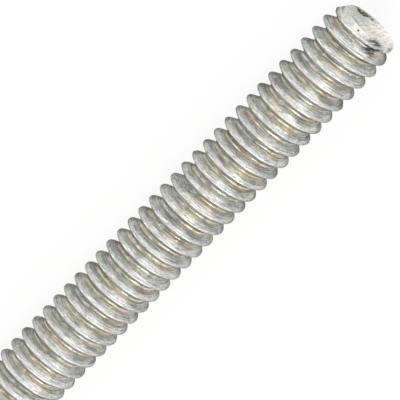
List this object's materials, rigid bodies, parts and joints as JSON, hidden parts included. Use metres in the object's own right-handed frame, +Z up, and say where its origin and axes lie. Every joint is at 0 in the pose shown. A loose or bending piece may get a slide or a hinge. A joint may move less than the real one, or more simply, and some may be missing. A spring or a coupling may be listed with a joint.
{
  "type": "threaded rod",
  "caption": "Straight steel rod with a right-hand thread along its whole length, bevelled and sheared flat at both ends, zinc plated.",
  "frame": {"origin": "centre of the underside: halfway along the rod, straight below its axis, at the level of the lowest thread crests", "axes": "+X along the rod's axis, +Z up; the rod lies as on a table, with its axis 3 mm above the origin"},
  "size_m": [0.1524, 0.006, 0.006],
  "materials": {
    "zinc": "bright zinc plating, silvery grey with faint bluish and straw tints, satin from rolling"
  },
  "bodies": {
    "root": {"rod": "zinc"}
  },
  "joints": []
}
